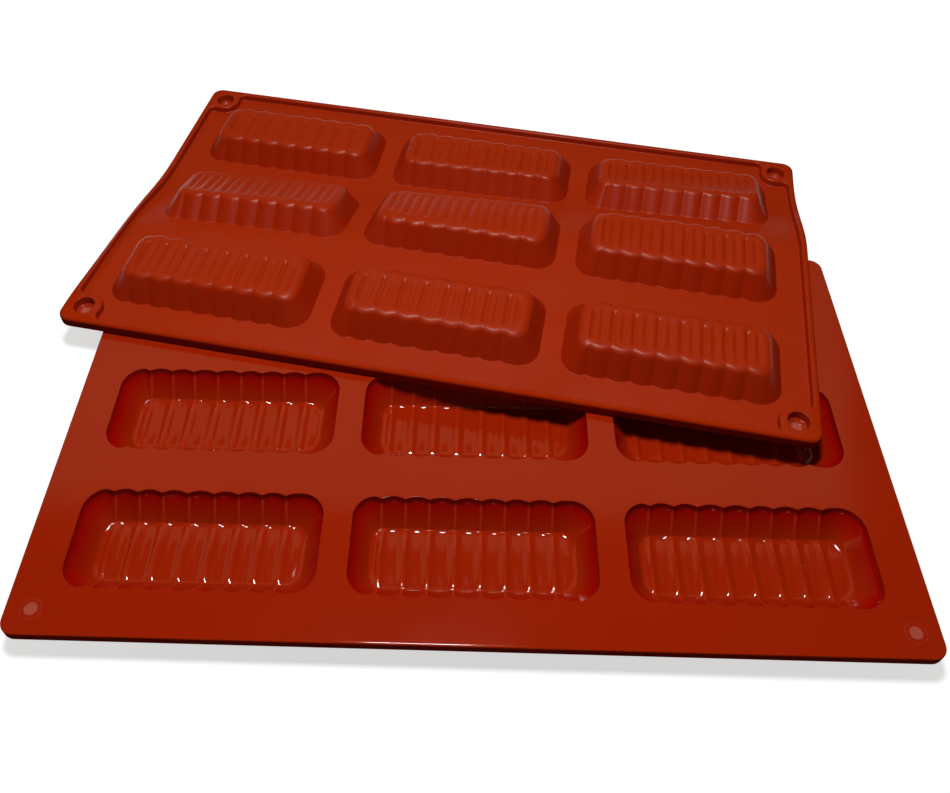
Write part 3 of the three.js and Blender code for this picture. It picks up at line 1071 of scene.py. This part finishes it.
def makeCamera(view):
    az, el, roll = view["azimuth"], view["elevation"], view["roll"]
    forward = np.array([-math.sin(az) * math.cos(el), math.cos(az) * math.cos(el), -math.sin(el)])
    level = np.array([math.cos(az), math.sin(az), 0])
    above = np.cross(level, forward)
    right = math.cos(roll) * level + math.sin(roll) * above
    up = -math.sin(roll) * level + math.cos(roll) * above
    spot = np.array(view["target"]) - view["distance"] * forward
    data = bpy.data.cameras.new("camera")
    wide, high = view["picture"]
    data.sensor_fit = "HORIZONTAL"
    data.sensor_width = view["sensorWidth"]
    data.lens = view["sensorWidth"] * view["focalPixels"] / wide
    data.shift_x = (wide / 2 - view["middle"][0]) / wide
    data.shift_y = (view["middle"][1] - high / 2) / wide
    data.clip_start = view["clipStart"]
    camera = bpy.data.objects.new("camera", data)
    bpy.context.scene.collection.objects.link(camera)
    camera.matrix_world = placing(right, up, -forward, spot * mm)
    bpy.context.scene.camera = camera


makeCamera(view)


# Floor and light

studio = {
    "floorSize": 6.0,
    "floorDrop": 0.0002,
    "floorShade": (0.18, 0.18, 0.18, 1),
    "floorWhite": (0.4, 0.444, 0.5, 1),
    "floorLevel": 1.02,
    "roomTint": (1.0, 0.8, 0.42, 1),
    "roomLevel": 0.03,
    "backWallLevel": 0.5,
    "backWallRise": 1.78,
    "backWallEnd": 0.228,
    "backWallLean": 0.34,
    "backWallEdge": 0.012,
    "backWallFoot": (0.7, 1.3),
    "backWallFootShare": 0.2,
    "frontLevel": 0.2,
    "frontWay": (0.0, -0.6, 0.8),
    "frontEdge": (0.93, 0.985),
    "backdrop": (1, 1, 1, 1),
}

lamps = {
    "overhead": {"spot": (-0.035, 0.04, 0.63), "aim": (-0.035, 0.04, 0), "size": (0.1, 0.1), "power": 3.95,
                 "tint": (1.0, 0.9, 0.8)},
}


def makeFloor(studio):
    mesh = bpy.data.meshes.new("floor")
    half = studio["floorSize"] / 2
    corners = [(-half, -half, 0), (half, -half, 0), (half, half, 0), (-half, half, 0)]
    mesh.from_pydata(corners, [], [(0, 1, 2, 3)])
    floor = bpy.data.objects.new("floor", mesh)
    floor.location.z = -studio["floorDrop"]
    bpy.context.scene.collection.objects.link(floor)
    material, tree = newMaterial("paleFloor")
    tree.nodes.remove(tree.nodes["Principled BSDF"])
    # in the light that it sends on, the floor is grey; to the eye it is white with the mould's shadow
    grey = addNode(tree, "ShaderNodeBsdfDiffuse", {"Color": studio["floorShade"]})
    white = addNode(tree, "ShaderNodeBsdfDiffuse", {"Color": studio["floorWhite"]})
    # the glow makes up for the lamp's fall-off, so that the unshaded floor is evenly white
    place = addNode(tree, "ShaderNodeTexCoord").outputs["Object"]
    offset = addNode(tree, "ShaderNodeVectorMath", {0: place}, operation="LENGTH").outputs["Value"]
    away = calc(tree, "DIVIDE", offset, lamps["overhead"]["spot"][2])
    lit = calc(tree, "POWER", calc(tree, "MULTIPLY_ADD", away, away, 1.0), -2.0)
    level = calc(tree, "MULTIPLY_ADD", lit, -studio["floorWhite"][0], studio["floorLevel"])
    glow = addNode(tree, "ShaderNodeEmission", {"Strength": level})
    bright = addNode(tree, "ShaderNodeAddShader", {0: white.outputs["BSDF"], 1: glow.outputs["Emission"]})
    rays = addNode(tree, "ShaderNodeLightPath").outputs
    seen = calc(tree, "MAXIMUM", rays["Is Camera Ray"], rays["Is Glossy Ray"])
    seen = calc(tree, "MAXIMUM", seen, rays["Is Transmission Ray"])
    showMix(tree, seen, grey.outputs["BSDF"], bright.outputs["Shader"], "Material Output")
    mesh.materials.append(material)


def makeLamp(name, values):
    data = bpy.data.lights.new(name, "AREA")
    data.shape = "RECTANGLE"
    data.size, data.size_y = values["size"]
    data.energy = values["power"]
    data.color = values["tint"]
    lamp = bpy.data.objects.new(name, data)
    bpy.context.scene.collection.objects.link(lamp)
    spot, aim = np.array(values["spot"], float), np.array(values["aim"], float)
    away = (spot - aim) / np.linalg.norm(spot - aim)
    right = np.cross([0, 1, 0], away)
    right /= np.linalg.norm(right)
    lamp.matrix_world = placing(right, np.cross(away, right), away, spot)


def makeWorld(studio):
    # a dim room with a paler wall behind the mould; white where the camera looks past the floor
    world = bpy.data.worlds.new("studio")
    world.use_nodes = True
    tree = world.node_tree
    way = addNode(tree, "ShaderNodeTexCoord").outputs["Generated"]
    x, y, z = addNode(tree, "ShaderNodeSeparateXYZ", {0: way}).outputs
    overWall = calc(tree, "MULTIPLY_ADD", y, studio["backWallRise"], calc(tree, "MULTIPLY", z, -1.0))
    lean = calc(tree, "MULTIPLY", z, studio["backWallLean"])
    wallEnd = calc(tree, "MULTIPLY_ADD", y, studio["backWallEnd"], lean)
    within = calc(tree, "MINIMUM", overWall, calc(tree, "SUBTRACT", wallEnd, x))
    edge = studio["backWallEdge"]
    wall = mapRange(tree, within, (-edge, edge), (0, studio["backWallLevel"]))
    rise = calc(tree, "DIVIDE", z, y)
    foot = mapRange(tree, rise, studio["backWallFoot"], (studio["backWallFootShare"], 1))
    ahead = addNode(tree, "ShaderNodeVectorMath", {0: way, 1: studio["frontWay"]}, operation="DOT_PRODUCT")
    front = mapRange(tree, ahead.outputs["Value"], studio["frontEdge"], (0, studio["frontLevel"]))
    level = calc(tree, "ADD", calc(tree, "MULTIPLY_ADD", wall, foot, front), studio["roomLevel"])
    room = tree.nodes["Background"]
    feed(room.inputs["Color"], studio["roomTint"])
    feed(room.inputs["Strength"], level)
    white = addNode(tree, "ShaderNodeBackground", {"Color": studio["backdrop"]})
    seen = addNode(tree, "ShaderNodeLightPath").outputs["Is Camera Ray"]
    showMix(tree, seen, room.outputs["Background"], white.outputs["Background"], "World Output")
    bpy.context.scene.world = world


makeFloor(studio)
makeWorld(studio)
for name, values in lamps.items():
    makeLamp(name, values)
bpy.context.scene.view_settings.view_transform = "Standard"
print("studio lit")
